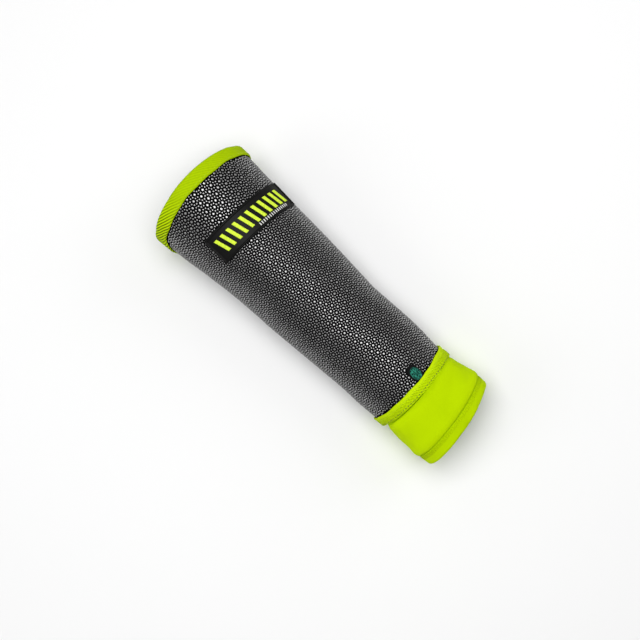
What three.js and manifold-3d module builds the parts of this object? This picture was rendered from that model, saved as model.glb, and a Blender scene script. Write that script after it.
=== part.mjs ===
// Forearm guard: a tapered tube of guard fabric with bound edges, a soft cuff,
// a rubber patch round the wide end and a small woven tab at the narrow one.
// It lies on its side on a flat surface, which flattens its underside.
// Lengths are in millimetres and angles in degrees. +X runs from the elbow end
// to the cuff and +Z is up. The origin is on the flat underside, at the middle
// of the fabric tube's length.
import * as THREE from 'three';
import { mergeVertices } from 'three/addons/utils/BufferGeometryUtils.js';
import Module from 'manifold-3d';

// Fabric tube. The tops of its ends lean out by the leans. The elbow's lean is gone at
// its length from the edge, and the wrist's starts at a share of the tube's length.
const BODY_LENGTH = 202;
const ELBOW_WIDTH = 85.4;
const ELBOW_HEIGHT = 74;
const WRIST_WIDTH = 68.4;
const WRIST_HEIGHT = 57.5;
const BODY_WALL = 1.8;
const ELBOW_LEAN = 7.8;
const ELBOW_LEAN_LENGTH = 34;
const ELBOW_SLANT = 0.8;
const WRIST_LEAN = 6;
const WRIST_LEAN_START = 0.5;

// Folded tape over the raw edges. The fold depth is how far it stands past an edge.
const ELBOW_TAPE_WIDTH = 9.2;
const WRIST_TAPE_WIDTH = 6.6;
const TAPE_THICKNESS = 1.2;
const FOLD_DEPTH = 1.6;

// Soft cuff and its hem. The cuff swells out to its own width over the swell length.
const CUFF_REACH = 38.3;
const CUFF_TUCK = 9;
const CUFF_WIDTH = 70;
const CUFF_HEIGHT = 58;
const CUFF_WALL = 1.4;
const CUFF_LEAN = 5;
const CUFF_SLANT = 4;
const SWELL_LENGTH = 4.5;
const HEM_WIDTH = 7.6;
const HEM_THICKNESS = 1;

// Rubber patch with a raised rim and raised slanted bars. It is turned on the fabric,
// and its reach is its length round the tube.
const PATCH_FROM_EDGE = 33;
const PATCH_TURN = 4.7;
const PATCH_WIDTH = 21.4;
const PATCH_REACH = 72;
const PATCH_ANGLE = 18.5;
const PATCH_THICKNESS = 1.3;
const RIM_WIDTH = 1.5;
const RIM_RISE = 0.7;
const BAR_COUNT = 11;
const BAR_WIDTH = 2.6;
const BAR_MARGIN = 5;
const BAR_SLANT = 3.2;
const BAR_RISE = 0.5;

// Woven tab. Its tip is a share of its width.
const TAB_WIDTH = 8.4;
const TAB_LENGTH = 11.5;
const TAB_THICKNESS = 1.2;
const TAB_ANGLE = 16;
const TAB_TIP = 0.3;

// Gap between pieces that touch
const FIT_GAP = 0.3;

// Share of a section's height where it is widest, and of its width that lies flat
const WAIST_SHARE = 0.48;
const FLAT_SHARE = 0.4;

// Angles from the top at which the flat underside starts and dents begin to fade
const FLAT_ANGLE = 150;
const DENT_FADE_ANGLE = 100;

// Half the angle over which an outline's direction is measured
const PROBE_ANGLE = 0.5;

// Share of an end's lean by which its underside draws back as its top leans out,
// before the rest, which pushes both out, is added
const LEAN_EVEN = 0.65;

// Facets round a section: over the top, down each side and across the flat
const TOP_FACETS = 24;
const SIDE_FACETS = 8;
const FLAT_FACETS = 4;

// Sections of the fabric tube. along: share of its length. narrowing: 0 at the elbow's
// size and 1 at the wrist's. drift: sideways shift of the middle, as a share of the
// elbow's width. lift: 1 where a tape under the fabric holds it off the surface.
const BODY_SECTIONS = [
  { along: 0.0, narrowing: 0.0, drift: -0.002, lift: 1 },
  { along: 0.06, narrowing: 0.06, drift: -0.003, lift: 1 },
  { along: 0.14, narrowing: 0.19, drift: -0.01, lift: 0.4 },
  { along: 0.22, narrowing: 0.32, drift: -0.009, lift: 0 },
  { along: 0.35, narrowing: 0.52, drift: -0.01, lift: 0 },
  { along: 0.47, narrowing: 0.66, drift: -0.019, lift: 0 },
  { along: 0.6, narrowing: 0.86, drift: -0.03, lift: 0 },
  { along: 0.67, narrowing: 0.94, drift: -0.034, lift: 0 },
  { along: 0.8, narrowing: 0.98, drift: -0.031, lift: 0 },
  { along: 0.93, narrowing: 1.0, drift: -0.042, lift: 0.8 },
  { along: 0.965, narrowing: 1.12, drift: -0.046, lift: 1 },
  { along: 1.0, narrowing: 1.15, drift: -0.038, lift: 1 },
];

// Shallow dents in the fabric tube. along and length: shares of its length.
// depth: share of the wrist's width. angle: from the top, positive towards +Y.
const BODY_DENTS = [
  { along: 0.2, angle: -82, depth: 0.014, length: 0.07, spread: 34 },
  { along: 0.69, angle: 84, depth: 0.01, length: 0.05, spread: 36 },
  { along: 0.86, angle: -64, depth: 0.012, length: 0.08, spread: 30 },
  { along: 0.9, angle: 58, depth: 0.01, length: 0.07, spread: 28 },
];

// Sections of the cuff past the fabric's edge. along: share of its reach.
// width and height: shares of the cuff's own. drift: share of the cuff's width.
const CUFF_SECTIONS = [
  { along: 0.0, width: 0.925, height: 0.95, drift: -0.046, lift: 2.6 },
  { along: 0.25, width: 0.955, height: 0.98, drift: -0.043, lift: 2 },
  { along: 0.5, width: 0.985, height: 1.0, drift: -0.037, lift: 1.5 },
  { along: 0.75, width: 1.0, height: 1.0, drift: -0.03, lift: 1.25 },
  { along: 1.0, width: 0.985, height: 0.97, drift: -0.024, lift: 1 },
];

const { clamp, degToRad, lerp, smoothstep } = THREE.MathUtils;

// Smooth curve through one column of a table whose rows are sorted by along.
function columnAt(rows, column, along) {
  const last = rows.length - 1;
  let i = 0;
  while (i < last - 1 && along > rows[i + 1].along) i += 1;
  const slopeAt = (k) => {
    const before = rows[Math.max(k - 1, 0)];
    const after = rows[Math.min(k + 1, last)];
    return (after[column] - before[column]) / (after.along - before.along);
  };
  const from = rows[i];
  const to = rows[i + 1];
  const step = to.along - from.along;
  const t = clamp((along - from.along) / step, 0, 1);
  const rise = t * t * (3 - 2 * t);
  const leave = t * (1 - t) * (1 - t) * step * slopeAt(i);
  const arrive = t * t * (t - 1) * step * slopeAt(i + 1);
  return from[column] + (to[column] - from[column]) * rise + leave + arrive;
}

// Point of a section's outline, as [y, z], at an angle from the top.
function outlineAt(section, angle) {
  const { width, height, drift, lift } = section;
  const side = Math.sign(angle) || 1;
  const turned = Math.abs(angle);
  const waist = lift + (height - lift) * WAIST_SHARE;
  const flat = (width / 2) * FLAT_SHARE;
  if (turned <= 90) {
    const a = degToRad(turned);
    return [drift + side * (width / 2) * Math.sin(a), waist + (height - waist) * Math.cos(a)];
  }
  if (turned <= FLAT_ANGLE) {
    const a = degToRad((90 * (turned - 90)) / (FLAT_ANGLE - 90));
    const out = flat + (width / 2 - flat) * Math.cos(a);
    return [drift + side * out, waist - (waist - lift) * Math.sin(a)];
  }
  return [drift + (side * flat * (180 - turned)) / (180 - FLAT_ANGLE), lift];
}

// The same point moved outward, square to the outline, by an offset.
function outlineOffset(section, angle, offset) {
  const [y, z] = outlineAt(section, angle);
  if (Math.abs(angle) >= FLAT_ANGLE) return [y, z - offset];
  const [y0, z0] = outlineAt(section, angle - PROBE_ANGLE);
  const [y1, z1] = outlineAt(section, angle + PROBE_ANGLE);
  const run = Math.hypot(y1 - y0, z1 - z0);
  return [y - (offset * (z1 - z0)) / run, z + (offset * (y1 - y0)) / run];
}

// How far an end's edge reaches past its own sides: the top leans out by the lean,
// and the underside draws back less.
function leanAt(lean, angle) {
  const c = Math.cos(degToRad(angle));
  return lean * (LEAN_EVEN * c + (1 - LEAN_EVEN) * c * c);
}

function dentDepth(along, angle) {
  let depth = 0;
  for (const dent of BODY_DENTS) {
    const far = (along - dent.along) / dent.length;
    const round = (angle - dent.angle) / dent.spread;
    depth += dent.depth * WRIST_WIDTH * Math.exp(-far * far - round * round);
  }
  return depth * (1 - smoothstep(Math.abs(angle), DENT_FADE_ANGLE, FLAT_ANGLE));
}

// Point of the fabric tube, at a distance from its elbow edge and an offset outward.
function bodyPoint(distance, angle, offset) {
  const along = distance / BODY_LENGTH;
  const share = clamp(along, 0, 1);
  const narrowing = columnAt(BODY_SECTIONS, 'narrowing', share);
  const section = {
    width: lerp(ELBOW_WIDTH, WRIST_WIDTH, narrowing),
    height: lerp(ELBOW_HEIGHT, WRIST_HEIGHT, narrowing),
    drift: columnAt(BODY_SECTIONS, 'drift', share) * ELBOW_WIDTH,
    lift: Math.max(columnAt(BODY_SECTIONS, 'lift', share), 0) * (TAPE_THICKNESS + FIT_GAP),
  };
  const [y, z] = outlineOffset(section, angle, offset - dentDepth(share, angle));
  const slant = ELBOW_SLANT * Math.sin(degToRad(angle));
  const straightened = smoothstep(distance, ELBOW_TAPE_WIDTH / 2, ELBOW_LEAN_LENGTH);
  const elbowEnd = (slant - leanAt(ELBOW_LEAN, angle)) * (1 - straightened);
  const wristEnd = leanAt(WRIST_LEAN, angle) * smoothstep(share, WRIST_LEAN_START, 1);
  return new THREE.Vector3(distance + elbowEnd + wristEnd, y, z);
}

// Point of the cuff, at a distance past the fabric's wrist edge: inside the fabric
// it follows the fabric, and past the edge it swells out to its own sections.
function cuffPoint(distance, angle, offset) {
  const tucked = bodyPoint(BODY_LENGTH + distance, angle, offset - BODY_WALL - FIT_GAP);
  const along = clamp(distance / CUFF_REACH, 0, 1);
  const swell = smoothstep(distance, FOLD_DEPTH, FOLD_DEPTH + SWELL_LENGTH);
  if (swell === 0) return tucked;
  const section = {
    width: columnAt(CUFF_SECTIONS, 'width', along) * CUFF_WIDTH,
    height: columnAt(CUFF_SECTIONS, 'height', along) * CUFF_HEIGHT,
    drift: columnAt(CUFF_SECTIONS, 'drift', along) * CUFF_WIDTH,
    lift: columnAt(CUFF_SECTIONS, 'lift', along) * (HEM_THICKNESS + FIT_GAP),
  };
  const hemStart = CUFF_REACH - HEM_WIDTH;
  const inset = (HEM_THICKNESS + FIT_GAP) * smoothstep(distance, hemStart - HEM_WIDTH / 2, hemStart);
  const drawnIn = Math.abs(angle) < FLAT_ANGLE ? inset : 0;
  const [y, z] = outlineOffset(section, angle, offset - drawnIn);
  const slant = CUFF_SLANT * Math.sin(degToRad(angle)) * along;
  const lean = leanAt(lerp(WRIST_LEAN, CUFF_LEAN, along), angle);
  const free = new THREE.Vector3(BODY_LENGTH + distance + lean - slant, y, z);
  return tucked.lerp(free, swell);
}

// Angles of the facets' corners round a section.
function ringAngles() {
  const angles = [];
  const addSpan = (from, to, count) => {
    for (let i = 0; i < count; i += 1) angles.push(lerp(from, to, i / count));
  };
  addSpan(-90, 90, TOP_FACETS);
  addSpan(90, FLAT_ANGLE, SIDE_FACETS);
  addSpan(FLAT_ANGLE, 360 - FLAT_ANGLE, FLAT_FACETS);
  addSpan(360 - FLAT_ANGLE, 270, SIDE_FACETS);
  return angles.map((angle) => (angle > 180 ? angle - 360 : angle));
}

// Closed body swept round the tube from a closed profile of [distance, offset] pairs,
// whose outer side runs towards +X.
function sweptRound(profile, pointAt) {
  const angles = ringAngles();
  const positions = [];
  const index = [];
  for (const [distance, offset] of profile) {
    for (const angle of angles) positions.push(...pointAt(distance, angle, offset).toArray());
  }
  for (let i = 0; i < profile.length; i += 1) {
    const here = i * angles.length;
    const next = ((i + 1) % profile.length) * angles.length;
    for (let j = 0; j < angles.length; j += 1) {
      const k = (j + 1) % angles.length;
      index.push(here + j, next + j, next + k);
      index.push(here + j, next + k, here + k);
    }
  }
  return geometryOf(positions, index);
}

function geometryOf(positions, index) {
  const geometry = new THREE.BufferGeometry();
  geometry.setAttribute('position', new THREE.Float32BufferAttribute(positions, 3));
  geometry.setIndex(index);
  geometry.computeVertexNormals();
  return geometry;
}

// Distances from one edge to the other, with rows at the tapes' edges and middles.
function bodyStations() {
  const rows = 12;
  const stations = [0, ELBOW_TAPE_WIDTH / 2];
  for (let i = 0; i <= rows; i += 1) {
    stations.push(lerp(ELBOW_TAPE_WIDTH, BODY_LENGTH - WRIST_TAPE_WIDTH, i / rows));
  }
  stations.push(BODY_LENGTH - WRIST_TAPE_WIDTH / 2, BODY_LENGTH);
  return stations;
}

function wallProfile(stations, wall) {
  const outside = stations.map((distance) => [distance, 0]);
  const inside = stations.map((distance) => [distance, -wall]).reverse();
  return [...outside, ...inside];
}

// Profile of a tape folded over a raw edge at distance 0. Distances grow along the
// fabric, away from the edge. reach: how far its legs run back over the fabric.
function foldProfile(wall, thickness, reach) {
  const middle = -wall / 2;
  const half = wall / 2 + FIT_GAP + thickness;
  const outer = FIT_GAP + thickness;
  const steps = 6;
  const profile = [
    [reach, FIT_GAP],
    [reach / 2, FIT_GAP],
    [-FIT_GAP, FIT_GAP],
    [-FIT_GAP, -wall - FIT_GAP],
    [reach / 2, -wall - FIT_GAP],
    [reach, -wall - FIT_GAP],
    [reach, -wall - outer],
    [reach / 2, -wall - outer],
  ];
  for (let i = steps; i >= 0; i -= 1) {
    const a = (Math.PI * i) / steps;
    profile.push([-FOLD_DEPTH * Math.sin(a), middle + half * Math.cos(a)]);
  }
  profile.push([reach / 2, outer], [reach, outer]);
  return profile;
}

// Profile of the wrist's tape: it covers the fabric's end and stops at the cuff.
function wristProfile() {
  const outer = FIT_GAP + TAPE_THICKNESS;
  return [
    [-WRIST_TAPE_WIDTH, outer],
    [-WRIST_TAPE_WIDTH / 2, outer],
    [0, outer],
    [FOLD_DEPTH / 2, outer - TAPE_THICKNESS / 4],
    [FOLD_DEPTH, outer - TAPE_THICKNESS],
    [FOLD_DEPTH - FIT_GAP, -BODY_WALL],
    [FIT_GAP, -BODY_WALL],
    [FIT_GAP, FIT_GAP],
    [-WRIST_TAPE_WIDTH / 2, FIT_GAP],
    [-WRIST_TAPE_WIDTH, FIT_GAP],
  ];
}

const HI_VIS = new THREE.Color('#b8d808');
const FABRIC = { color: '#4c4b4b', roughness: 0.7, metalness: 0 };
const TAPE = { color: HI_VIS, roughness: 0.8, metalness: 0 };
const KNIT = { color: HI_VIS, roughness: 0.95, metalness: 0 };
const RUBBER = { color: '#141312', roughness: 0.55, metalness: 0 };
const WOVEN = { color: '#15594a', roughness: 0.8, metalness: 0 };

function piece(name, geometry, finish) {
  const mesh = new THREE.Mesh(geometry, new THREE.MeshStandardMaterial(finish));
  mesh.name = name;
  return mesh;
}

function makeBody() {
  return sweptRound(wallProfile(bodyStations(), BODY_WALL), bodyPoint);
}

function makeElbowBinding() {
  return sweptRound(foldProfile(BODY_WALL, TAPE_THICKNESS, ELBOW_TAPE_WIDTH), bodyPoint);
}

function makeWristBinding() {
  const fromEdge = (distance, angle, offset) => bodyPoint(BODY_LENGTH + distance, angle, offset);
  return sweptRound(wristProfile(), fromEdge);
}

function makeCuff() {
  const hemStart = CUFF_REACH - HEM_WIDTH;
  const swollen = FOLD_DEPTH + SWELL_LENGTH;
  const stations = [-CUFF_TUCK, -CUFF_TUCK / 2, 0, FOLD_DEPTH];
  stations.push(lerp(FOLD_DEPTH, swollen, 1 / 3), lerp(FOLD_DEPTH, swollen, 2 / 3), swollen);
  const rows = 5;
  for (let i = 1; i <= rows; i += 1) {
    stations.push(lerp(swollen, hemStart - HEM_WIDTH / 2, i / rows));
  }
  stations.push(hemStart - HEM_WIDTH / 4, hemStart, hemStart + HEM_WIDTH / 2, CUFF_REACH);
  return sweptRound(wallProfile(stations, CUFF_WALL), cuffPoint);
}

function makeHem() {
  const fromEnd = (distance, angle, offset) => cuffPoint(CUFF_REACH - distance, angle, offset);
  return sweptRound(foldProfile(CUFF_WALL, HEM_THICKNESS, HEM_WIDTH).reverse(), fromEnd);
}

// Angle at an arc length round the fabric from a starting angle.
function angleAtArc(distance, start, arc) {
  const step = Math.sign(arc) || 1;
  let angle = start;
  let left = Math.abs(arc);
  let here = bodyPoint(distance, angle, 0);
  for (;;) {
    const next = bodyPoint(distance, angle + step, 0);
    const run = next.distanceTo(here);
    if (run >= left) return angle + (step * left) / run;
    left -= run;
    angle += step;
    here = next;
  }
}

// Closed plate wrapped on the fabric from a grid. across: arc lengths from its middle
// angle, or functions of the row that give them. down: distances from the elbow edge.
// turn: how far the grid is turned about its middle. topAt gives the plate's height.
function wrappedPlate(middle, turn, across, down, topAt) {
  const halfway = (down[0] + down[down.length - 1]) / 2;
  const [sine, cosine] = [Math.sin(degToRad(turn)), Math.cos(degToRad(turn))];
  const positions = [];
  const index = [];
  const layer = across.length * down.length;
  for (const top of [true, false]) {
    down.forEach((distance, j) => {
      across.forEach((arc, i) => {
        const side = typeof arc === 'function' ? arc(j) : arc;
        const forward = distance - halfway;
        const angle = angleAtArc(halfway, middle, side * cosine - forward * sine);
        const place = halfway + forward * cosine + side * sine;
        const offset = FIT_GAP + (top ? topAt(i, j) : 0);
        positions.push(...bodyPoint(place, angle, offset).toArray());
      });
    });
  }
  const at = (i, j, bottom) => j * across.length + i + (bottom ? layer : 0);
  const quad = (a, b, c, d) => index.push(a, b, c, a, c, d);
  for (let j = 0; j + 1 < down.length; j += 1) {
    for (let i = 0; i + 1 < across.length; i += 1) {
      quad(at(i, j), at(i, j + 1), at(i + 1, j + 1), at(i + 1, j));
      quad(at(i, j, true), at(i + 1, j, true), at(i + 1, j + 1, true), at(i, j + 1, true));
    }
  }
  const right = across.length - 1;
  const far = down.length - 1;
  for (let i = 0; i < right; i += 1) {
    quad(at(i, 0), at(i + 1, 0), at(i + 1, 0, true), at(i, 0, true));
    quad(at(i + 1, far), at(i, far), at(i, far, true), at(i + 1, far, true));
  }
  for (let j = 0; j < far; j += 1) {
    quad(at(0, j + 1), at(0, j), at(0, j, true), at(0, j + 1, true));
    quad(at(right, j), at(right, j + 1), at(right, j + 1, true), at(right, j, true));
  }
  return geometryOf(positions, index);
}

const wasm = await Module();
wasm.setup();

function solidOf(geometry) {
  const bare = geometry.clone();
  bare.deleteAttribute('normal');
  const merged = mergeVertices(bare);
  const vertProperties = merged.attributes.position.array;
  const triVerts = new Uint32Array(merged.index.array);
  return new wasm.Manifold(new wasm.Mesh({ numProp: 3, vertProperties, triVerts }));
}

function geometryFrom(solid) {
  const { vertProperties, triVerts } = solid.getMesh();
  return geometryOf(Array.from(vertProperties), Array.from(triVerts));
}

// The patch: a plate with a raised rim and a row of raised slanted bars.
function makePatch() {
  const half = PATCH_REACH / 2;
  const wall = RIM_RISE / 2;
  const columns = 20;
  const across = [-half, -half + RIM_WIDTH];
  for (let i = 0; i <= columns; i += 1) {
    across.push(lerp(-half + RIM_WIDTH + wall, half - RIM_WIDTH - wall, i / columns));
  }
  across.push(half - RIM_WIDTH, half);
  const near = PATCH_FROM_EDGE;
  const far = near + PATCH_WIDTH;
  const down = [near, near + RIM_WIDTH, near + RIM_WIDTH + wall];
  down.push(far - RIM_WIDTH - wall, far - RIM_WIDTH, far);
  const onRim = (i, count) => i < 2 || i > count - 3;
  const topAt = (i, j) => {
    const raised = onRim(i, across.length) || onRim(j, down.length);
    return PATCH_THICKNESS + (raised ? RIM_RISE : 0);
  };
  let solid = solidOf(wrappedPlate(PATCH_ANGLE, PATCH_TURN, across, down, topAt));
  const barTop = PATCH_THICKNESS + BAR_RISE;
  const reach = half - BAR_MARGIN - BAR_SLANT / 2 - BAR_WIDTH / 2;
  for (let i = 0; i < BAR_COUNT; i += 1) {
    const middle = lerp(-reach, reach, i / (BAR_COUNT - 1));
    const slide = (j) => middle + (j - 0.5) * BAR_SLANT;
    const sides = [(j) => slide(j) - BAR_WIDTH / 2, (j) => slide(j) + BAR_WIDTH / 2];
    const ends = [near + BAR_MARGIN, far - BAR_MARGIN];
    const bar = wrappedPlate(PATCH_ANGLE, PATCH_TURN, sides, ends, () => barTop);
    solid = solid.add(solidOf(bar));
  }
  return geometryFrom(solid);
}

// The tab: a flat loop of ribbon with a rounded free end, next to the wrist's tape.
function makeTab() {
  const root = BODY_LENGTH - WRIST_TAPE_WIDTH - FIT_GAP;
  const rows = 7;
  const down = [];
  const widths = [];
  for (let j = 0; j <= rows; j += 1) {
    const a = (Math.PI / 2) * (j / rows);
    const fromTip = (TAB_WIDTH / 2) * (1 - Math.cos(a));
    down.push(root - TAB_LENGTH + fromTip);
    widths.push((TAB_WIDTH / 2) * Math.max(Math.sin(a), TAB_TIP));
  }
  down.push(root - TAB_LENGTH / 4, root);
  widths.push(TAB_WIDTH / 2, TAB_WIDTH / 2);
  const across = [-1, -0.5, 0, 0.5, 1].map((share) => (j) => share * widths[j]);
  return wrappedPlate(TAB_ANGLE, 0, across, down, () => TAB_THICKNESS);
}

const sleeve = new THREE.Group();
sleeve.position.x = -BODY_LENGTH / 2;
sleeve.add(piece('sleeve_body', makeBody(), FABRIC));
sleeve.add(piece('elbow_binding', makeElbowBinding(), TAPE));
sleeve.add(piece('wrist_binding', makeWristBinding(), TAPE));
sleeve.add(piece('knit_cuff', makeCuff(), KNIT));
sleeve.add(piece('cuff_hem', makeHem(), KNIT));
sleeve.add(piece('label_patch', makePatch(), RUBBER));
sleeve.add(piece('side_tab', makeTab(), WOVEN));

export default sleeve;
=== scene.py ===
import math

import bpy
import numpy as np
from mathutils import Matrix, Vector
from mathutils.bvhtree import BVHTree


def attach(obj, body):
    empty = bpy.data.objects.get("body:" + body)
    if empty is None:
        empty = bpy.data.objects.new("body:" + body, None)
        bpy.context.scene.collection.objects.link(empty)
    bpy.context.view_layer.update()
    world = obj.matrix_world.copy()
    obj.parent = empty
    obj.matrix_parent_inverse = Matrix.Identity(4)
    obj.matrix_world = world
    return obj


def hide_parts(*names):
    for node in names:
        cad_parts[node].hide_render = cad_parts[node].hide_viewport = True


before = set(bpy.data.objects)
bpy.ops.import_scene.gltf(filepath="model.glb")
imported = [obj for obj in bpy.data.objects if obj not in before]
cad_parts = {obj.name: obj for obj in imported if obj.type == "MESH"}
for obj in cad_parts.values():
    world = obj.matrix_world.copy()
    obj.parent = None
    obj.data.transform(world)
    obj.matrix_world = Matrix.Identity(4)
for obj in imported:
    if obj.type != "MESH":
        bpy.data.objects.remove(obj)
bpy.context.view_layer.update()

MM = 0.001
RANDOM = np.random.default_rng(11)

# Cloth and gaps
BODY_WALL = 1.8 * MM
BASE_DROP = 0.6 * MM
INNER_CLEARANCE = 0.1 * MM
GAP = 0.25 * MM
SEAT = 0.05 * MM
FLOOR_CLEARANCE = 0.05 * MM

# Tapes
ELBOW_TAPE_WIDTH = 8.5 * MM
ELBOW_TAPE_SPREAD = 5.2 * MM
ELBOW_SPREAD_RISE = (0.36, 0.56)
ELBOW_SPREAD_FALL = (0.66, 0.86)
ELBOW_TAPE_NARROWING = 0.9 * MM
ELBOW_NARROWING_TURNS = (0.1, 0.4)
ELBOW_MOVE_START = 2.0 * MM
ELBOW_STITCH_LINE = 1.3 * MM
WRIST_TAPE_WIDTH = 6.6 * MM
WRIST_TAPE_SPREAD = 1.8 * MM
WRIST_SPREAD_TURNS = (0.05, 0.45)
WRIST_STITCH_LINE = 0.2 * MM
WRIST_GROOVE_LINE = 2.4 * MM
WRIST_GROOVE = 0.35 * MM
WRIST_GROOVE_WIDTH = 0.35 * MM
WRIST_DIMPLES_RISE = (3.0 * MM, 4.0 * MM)
WRIST_EDGE_STITCH_SINK = 0.2 * MM
TAPE_THICKNESS = 1.15 * MM
FOLD_DEPTH = 1.6 * MM
FOLD_STEPS = 10
EDGE_SWELL = 0.15 * MM
OUTSIDE_HEIGHT = 1.5 * GAP

# Lip of the wrist tape over the fabric's end: how far its shoulder and its foot reach,
# as shares of the fold's depth, and the shoulder's fall
LIP_SHARES = (0.7, 0.8)
LIP_FALL = 0.25 * MM

# Outer edge of a folded tape: distance back from the edge, and fall as a share of its thickness
EDGE_ROUNDING = [(0.9 * MM, 0.0), (0.3 * MM, 0.25), (-0.1 * MM, 0.7)]

# Cuff and hem
CUFF_WALL = 1.4 * MM
CUFF_END_GAP = 0.4 * MM
CUFF_SLACK_RISE = (12.0 * MM, 26.0 * MM)
CUFF_SLACK_FALL = (34.0 * MM, 40.0 * MM)
CUFF_PUFF = 2.3 * MM
CUFF_PUFF_TURNS = (0.3, 0.47)
CUFF_PUFF_RISE = (10.9 * MM, 12.2 * MM)
CUFF_PUFF_FALL = (13.0 * MM, 29.0 * MM)
CUFF_FLUSH = 1.15 * MM
CUFF_FLUSH_RISE = (-10.0 * MM, -1.6 * MM)
CUFF_FLUSH_FALL = (-0.9 * MM, -0.1 * MM)
HEM_WIDTH = 7.6 * MM
HEM_THICKNESS = 1.0 * MM
HEM_CORNER = 1.5 * MM
HEM_CORNER_WIDTH = 0.04
HEM_STITCH_LINE = 1.1 * MM
HEM_GROOVE = 0.15 * MM
HEM_GROOVE_WIDTH = 0.4 * MM
SIDE_TURN = 0.5

# Uneven edges and surfaces: size, rate and shift of each wave round the tube. The
# shift of the cuff's fast wave grows along the tube, by its twist in each metre
ELBOW_EDGE_WAVES = [(0.22 * MM, 19, 0), (0.16 * MM, 43, 1)]
ELBOW_RIPPLES = [(0.05 * MM, 61, 0)]
WRIST_EDGE_WAVES = [(0.2 * MM, 17, 0), (0.15 * MM, 39, 0)]
WRIST_DIMPLES = [(0.12 * MM, 230, 0)]
CUFF_SLOW_WAVE = (0.25 * MM, 9, 1)
CUFF_FAST_WAVE = (0.2 * MM, 23)
CUFF_WAVE_TWIST = 300
HEM_EDGE_WAVES = [(0.1 * MM, 15, 0), (0.06 * MM, 37, 0)]

# Meshes of the tubes: spacing along the profile and number of columns
FABRIC_MESH = (2.0 * MM, 240)
ELBOW_MESH = (0.6 * MM, 480)
WRIST_MESH = (0.4 * MM, 720)
CUFF_MESH = (0.6 * MM, 320)
HEM_MESH = (0.5 * MM, 480)

# Stitches: pitch, length and radius
ELBOW_STITCH = (2.4 * MM, 1.9 * MM, 0.16 * MM)
WRIST_STITCH = (2.4 * MM, 1.7 * MM, 0.26 * MM)
WRIST_EDGE_STITCH = (2.2 * MM, 1.5 * MM, 0.15 * MM)
HEM_STITCH = (2.4 * MM, 1.7 * MM, 0.15 * MM)
SEAM_STITCH = (3.0 * MM, 2.2 * MM, 0.22 * MM)

# Thread of a stitch: its sides, and as shares of its radius, how far its ends dip and
# how high its middle line stays over the floor
THREAD_SIDES = 6
THREAD_DIP = 0.7
THREAD_FLOOR_SHARE = 1.1

# Thread from end to end: place along its half length, and share of its radius
THREAD_RINGS = [(-1.0, 0.3), (-0.8, 0.8), (0.0, 1.0), (0.8, 0.8), (1.0, 0.3)]

# How the end edges' lean fades along the fabric
ELBOW_LEAN_HOLD = 4.6 * MM
ELBOW_LEAN_LENGTH = 34.0 * MM

# Soft creases of the fabric: start and end seen from above in mm, spread, depth
CREASES = [
    ((-2, -4), (25, -20), 5.0 * MM, 0.9 * MM),
    ((-40, -36), (-16, -33), 7.0 * MM, 1.2 * MM),
    ((20, 4), (52, 14), 6.0 * MM, 0.7 * MM),
    ((-30, 8), (-8, 22), 6.0 * MM, 0.7 * MM),
    ((48, -22), (80, -10), 6.0 * MM, 0.6 * MM),
]
CREASE_HEIGHTS = (20.0 * MM, 40.0 * MM)

# Guard plates: steps of their pattern along and round the fabric, and where the
# small plates lie in each of its cells
STEP_A = (3.39 * MM, 2.26 * MM)
STEP_B = (1.93 * MM, -3.97 * MM)
SMALL_PLACES = [(0.2, 0.5), (0.8, 0.5), (0.5, 0.22), (0.5, 0.78)]
PATTERN_REACH = 70
PLATE_CLEARANCE = 0.3 * MM
PLATE_VARIETY = 0.05
CONE_REACH = 936.0 * MM

# Each ring of a plate has its share of the radius and of the rise
LARGE_PLATE = {
    "radius": 0.9 * MM,
    "rise": 0.5 * MM,
    "rings": [(0.66, 0.985), (0.76, 0.94), (0.92, 0.6), (1.0, -0.1)],
    "sides": 8,
    "turned": 0.3,
}
SMALL_PLATE = {
    "radius": 0.62 * MM,
    "rise": 0.38 * MM,
    "rings": [(0.64, 0.98), (0.8, 0.85), (1.0, -0.1)],
    "sides": 6,
    "turned": 0.1,
}

# Seam on the underside
SEAM_BAND = 3.0 * MM
SEAM_RISE = 0.1 * MM
SEAM_ELBOW_MARGIN = 6.0 * MM
SEAM_WRIST_MARGIN = 2.0 * MM

# Rubber patch
PATCH_FROM_EDGE = 33.0 * MM
PATCH_TURN = math.radians(4.7)
PATCH_WIDTH = 21.4 * MM
PATCH_REACH = 72.0 * MM
PATCH_ARC = 12.0 * MM
PATCH_THICKNESS = 1.3 * MM
PATCH_BEVEL = 0.6 * MM
RIM_WIDTH = 1.5 * MM
RIM_RISE = 0.7 * MM
RIM_FLANK = (-0.35 * MM, 0.3 * MM)
RIM_LINES = RIM_WIDTH + np.array([-0.35, -0.1, 0.15, 0.4]) * MM
BAR_COUNT = 11
BAR_WIDTH = 2.6 * MM
BAR_MARGIN = 5.0 * MM
BAR_SLANT = 3.2 * MM
BAR_RISE = 0.55 * MM
DASH_COUNT = 15
DASH_WIDTH = 0.8 * MM
DASH_ENDS = (6.4 * MM, 8.7 * MM)
DASH_REACH = (0.5 * MM, 27.0 * MM)
DASH_RISE = 0.2 * MM
MARK_BEVEL = 0.3 * MM
MARK_SINK = 0.1 * MM
PATCH_SPACING = (0.5 * MM, 0.6 * MM)
MARK_SPACING = (1.0 * MM, 0.5 * MM)
BEVEL_STEPS = np.array([0.0, 0.1, 0.3, 0.6])

# Woven tab
TAB_WIDTH = 8.4 * MM
TAB_LENGTH = 11.5 * MM
TAB_THICKNESS = 1.2 * MM
TAB_EDGE_SHARE = 0.35
TAB_BEVEL = 0.7 * MM
TAB_ARC = 6.8 * MM
TAB_CLEARANCE = 0.1 * MM
TAB_ROWS = 14
TAB_COLUMNS = 25

# Where the tab's first row lies, as a share of the quarter circle of its tip
TAB_TIP = 0.12

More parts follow.
